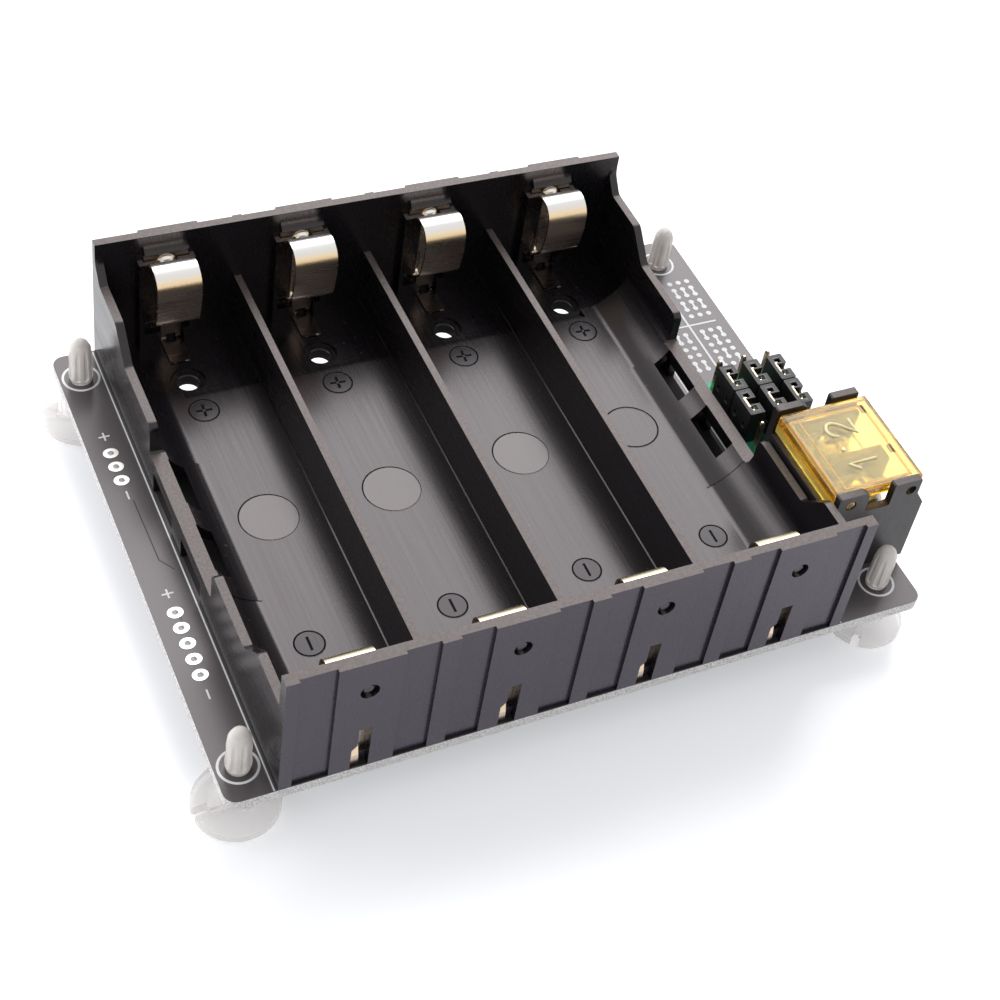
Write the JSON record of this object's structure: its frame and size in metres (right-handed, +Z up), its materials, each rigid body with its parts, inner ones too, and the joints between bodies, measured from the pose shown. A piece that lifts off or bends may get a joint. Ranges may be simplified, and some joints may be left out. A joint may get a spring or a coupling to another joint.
{
  "type": "cylindrical cell holder",
  "caption": "Black tray of side-by-side bays for cylindrical cells with spring contacts, on a circuit board with jumpers, a covered screw terminal and nylon feet",
  "frame": {"origin": "centre of the bounding box in plan, at the underside of the feet", "axes": "+X from the tray to the terminal side, along the longest extent; +Y from the tray's panelled front to its back; +Z up"},
  "size_m": [0.1022, 0.0784, 0.0286],
  "materials": {
    "tray_plastic": "black moulded plastic, satin gloss",
    "board_black": "black solder mask over glass-fibre board",
    "contact_nickel": "nickel-plated spring strip",
    "pin_gold": "gold-plated",
    "header_green": "green moulded plastic",
    "jumper_black": "black moulded plastic",
    "terminal_black": "black moulded plastic",
    "cover_amber": "clear amber plastic",
    "screw_nickel": "nickel-plated steel",
    "foot_nylon": "milky nylon"
  },
  "bodies": {
    "base": {"cell_tray": "tray_plastic", "circuit_board": "board_black", "spring_contact_front_1": "contact_nickel", "spring_contact_front_2": "contact_nickel", "spring_contact_front_3": "contact_nickel", "spring_contact_front_4": "contact_nickel", "spring_contact_back_1": "contact_nickel", "spring_contact_back_2": "contact_nickel", "spring_contact_back_3": "contact_nickel", "spring_contact_back_4": "contact_nickel", "header_base_1": "header_green", "header_base_2": "header_green", "header_base_3": "header_green", "header_pins_1": "pin_gold", "header_pins_2": "pin_gold", "header_pins_3": "pin_gold", "terminal_housing": "terminal_black", "terminal_tab_1": "screw_nickel", "terminal_tab_2": "screw_nickel", "foot_front_left": "foot_nylon", "foot_front_right": "foot_nylon", "foot_back_left": "foot_nylon", "foot_back_right": "foot_nylon"},
    "cover": {"terminal_cover": "cover_amber"},
    "jumper_cap_1": {"jumper_1": "jumper_black", "jumper_clip_1": "pin_gold"},
    "jumper_cap_2": {"jumper_2": "jumper_black", "jumper_clip_2": "pin_gold"},
    "jumper_cap_3": {"jumper_3": "jumper_black", "jumper_clip_3": "pin_gold"},
    "jumper_cap_4": {"jumper_4": "jumper_black", "jumper_clip_4": "pin_gold"},
    "jumper_cap_5": {"jumper_5": "jumper_black", "jumper_clip_5": "pin_gold"},
    "jumper_cap_6": {"jumper_6": "jumper_black", "jumper_clip_6": "pin_gold"},
    "clamp_1": {"terminal_clamp_1": "screw_nickel"},
    "screw_1": {"terminal_screw_1": "screw_nickel"},
    "clamp_2": {"terminal_clamp_2": "screw_nickel"},
    "screw_2": {"terminal_screw_2": "screw_nickel"}
  },
  "joints": [
    {"name": "cover_hinge", "type": "hinge", "parent": "base", "child": "cover", "pos_m": [0.0386, -0.02135, 0.0224], "axis": [0, -1, 0], "range_deg": [0, 105]},
    {"name": "jumper_1_pull", "type": "slide", "parent": "base", "child": "jumper_cap_1", "axis": [0, 0, 1], "range_m": [0, 0.006]},
    {"name": "jumper_2_pull", "type": "slide", "parent": "base", "child": "jumper_cap_2", "axis": [0, 0, 1], "range_m": [0, 0.006]},
    {"name": "jumper_3_pull", "type": "slide", "parent": "base", "child": "jumper_cap_3", "axis": [0, 0, 1], "range_m": [0, 0.006]},
    {"name": "jumper_4_pull", "type": "slide", "parent": "base", "child": "jumper_cap_4", "axis": [0, 0, 1], "range_m": [0, 0.006]},
    {"name": "jumper_5_pull", "type": "slide", "parent": "base", "child": "jumper_cap_5", "axis": [0, 0, 1], "range_m": [0, 0.006]},
    {"name": "jumper_6_pull", "type": "slide", "parent": "base", "child": "jumper_cap_6", "axis": [0, 0, 1], "range_m": [0, 0.006]},
    {"name": "clamp_1_lift", "type": "slide", "parent": "base", "child": "clamp_1", "axis": [0, 0, 1], "range_m": [0, 0.0024]},
    {"name": "screw_1_turn", "type": "hinge", "parent": "clamp_1", "child": "screw_1", "pos_m": [0.0446, -0.0256, 0.0172], "axis": [0, 0, 1], "range_deg": [0, 1440]},
    {"name": "clamp_2_lift", "type": "slide", "parent": "base", "child": "clamp_2", "axis": [0, 0, 1], "range_m": [0, 0.0024]},
    {"name": "screw_2_turn", "type": "hinge", "parent": "clamp_2", "child": "screw_2", "pos_m": [0.0446, -0.0171, 0.0172], "axis": [0, 0, 1], "range_deg": [0, 1440]}
  ],
  "couplings": [
    {"joint": "screw_1_turn", "follows": "clamp_1_lift", "rad_per_m": 10471},
    {"joint": "screw_2_turn", "follows": "clamp_2_lift", "rad_per_m": 10471}
  ]
}
